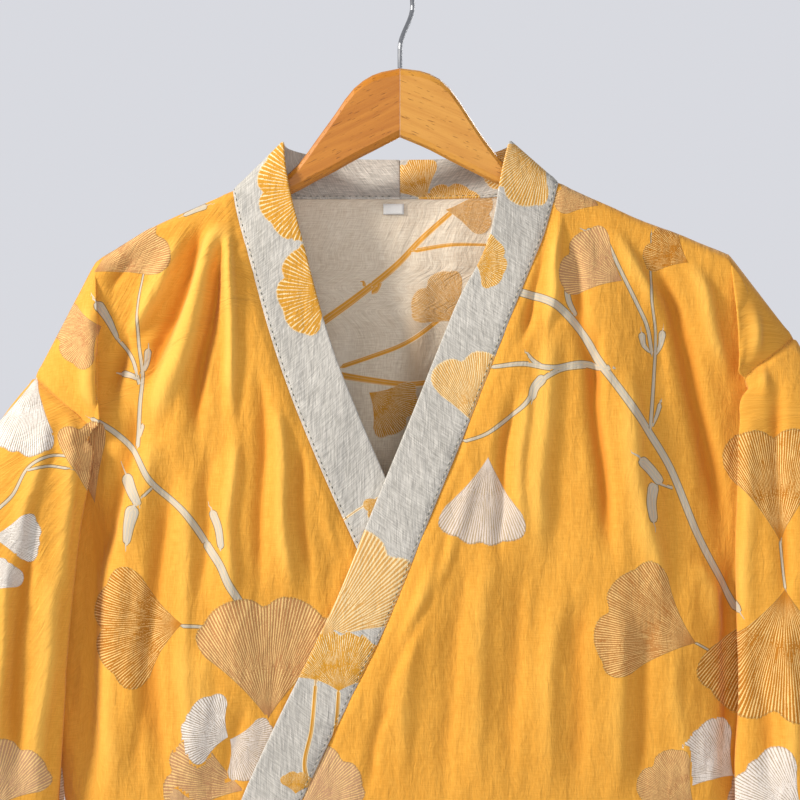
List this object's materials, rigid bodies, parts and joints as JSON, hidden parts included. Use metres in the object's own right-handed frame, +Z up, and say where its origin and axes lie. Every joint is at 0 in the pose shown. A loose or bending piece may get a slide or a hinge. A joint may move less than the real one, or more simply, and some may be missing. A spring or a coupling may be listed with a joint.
{
  "type": "kimono robe on a hanger",
  "caption": "Knee-length wrap kimono robe with neckband, short wide drop sleeves and tie belt, hanging on a wooden clothes hanger",
  "frame": {"origin": "underside of the top of the hanger's hook, where a rail carries it", "axes": "+Z up, the front of the robe faces -Y, the wearer's left is +X"},
  "size_m": [0.7976, 0.1084, 1.3014],
  "materials": {
    "cloth": "matt double gauze",
    "band": "matt double gauze, reverse side out",
    "label": "satin weave",
    "wood": "satin lacquer",
    "steel": "polished wire"
  },
  "bodies": {
    "root": {"back": "cloth", "front_right": "cloth", "front_left": "cloth", "sleeve_right": "cloth", "sleeve_left": "cloth", "collar_right": "band", "collar_left": "band", "belt": "cloth", "belt_knot": "cloth", "belt_end_right": "cloth", "belt_end_left": "cloth", "neck_label": "label", "hanger_arm_right": "wood", "hanger_arm_left": "wood", "hanger_hook": "steel"}
  },
  "joints": []
}
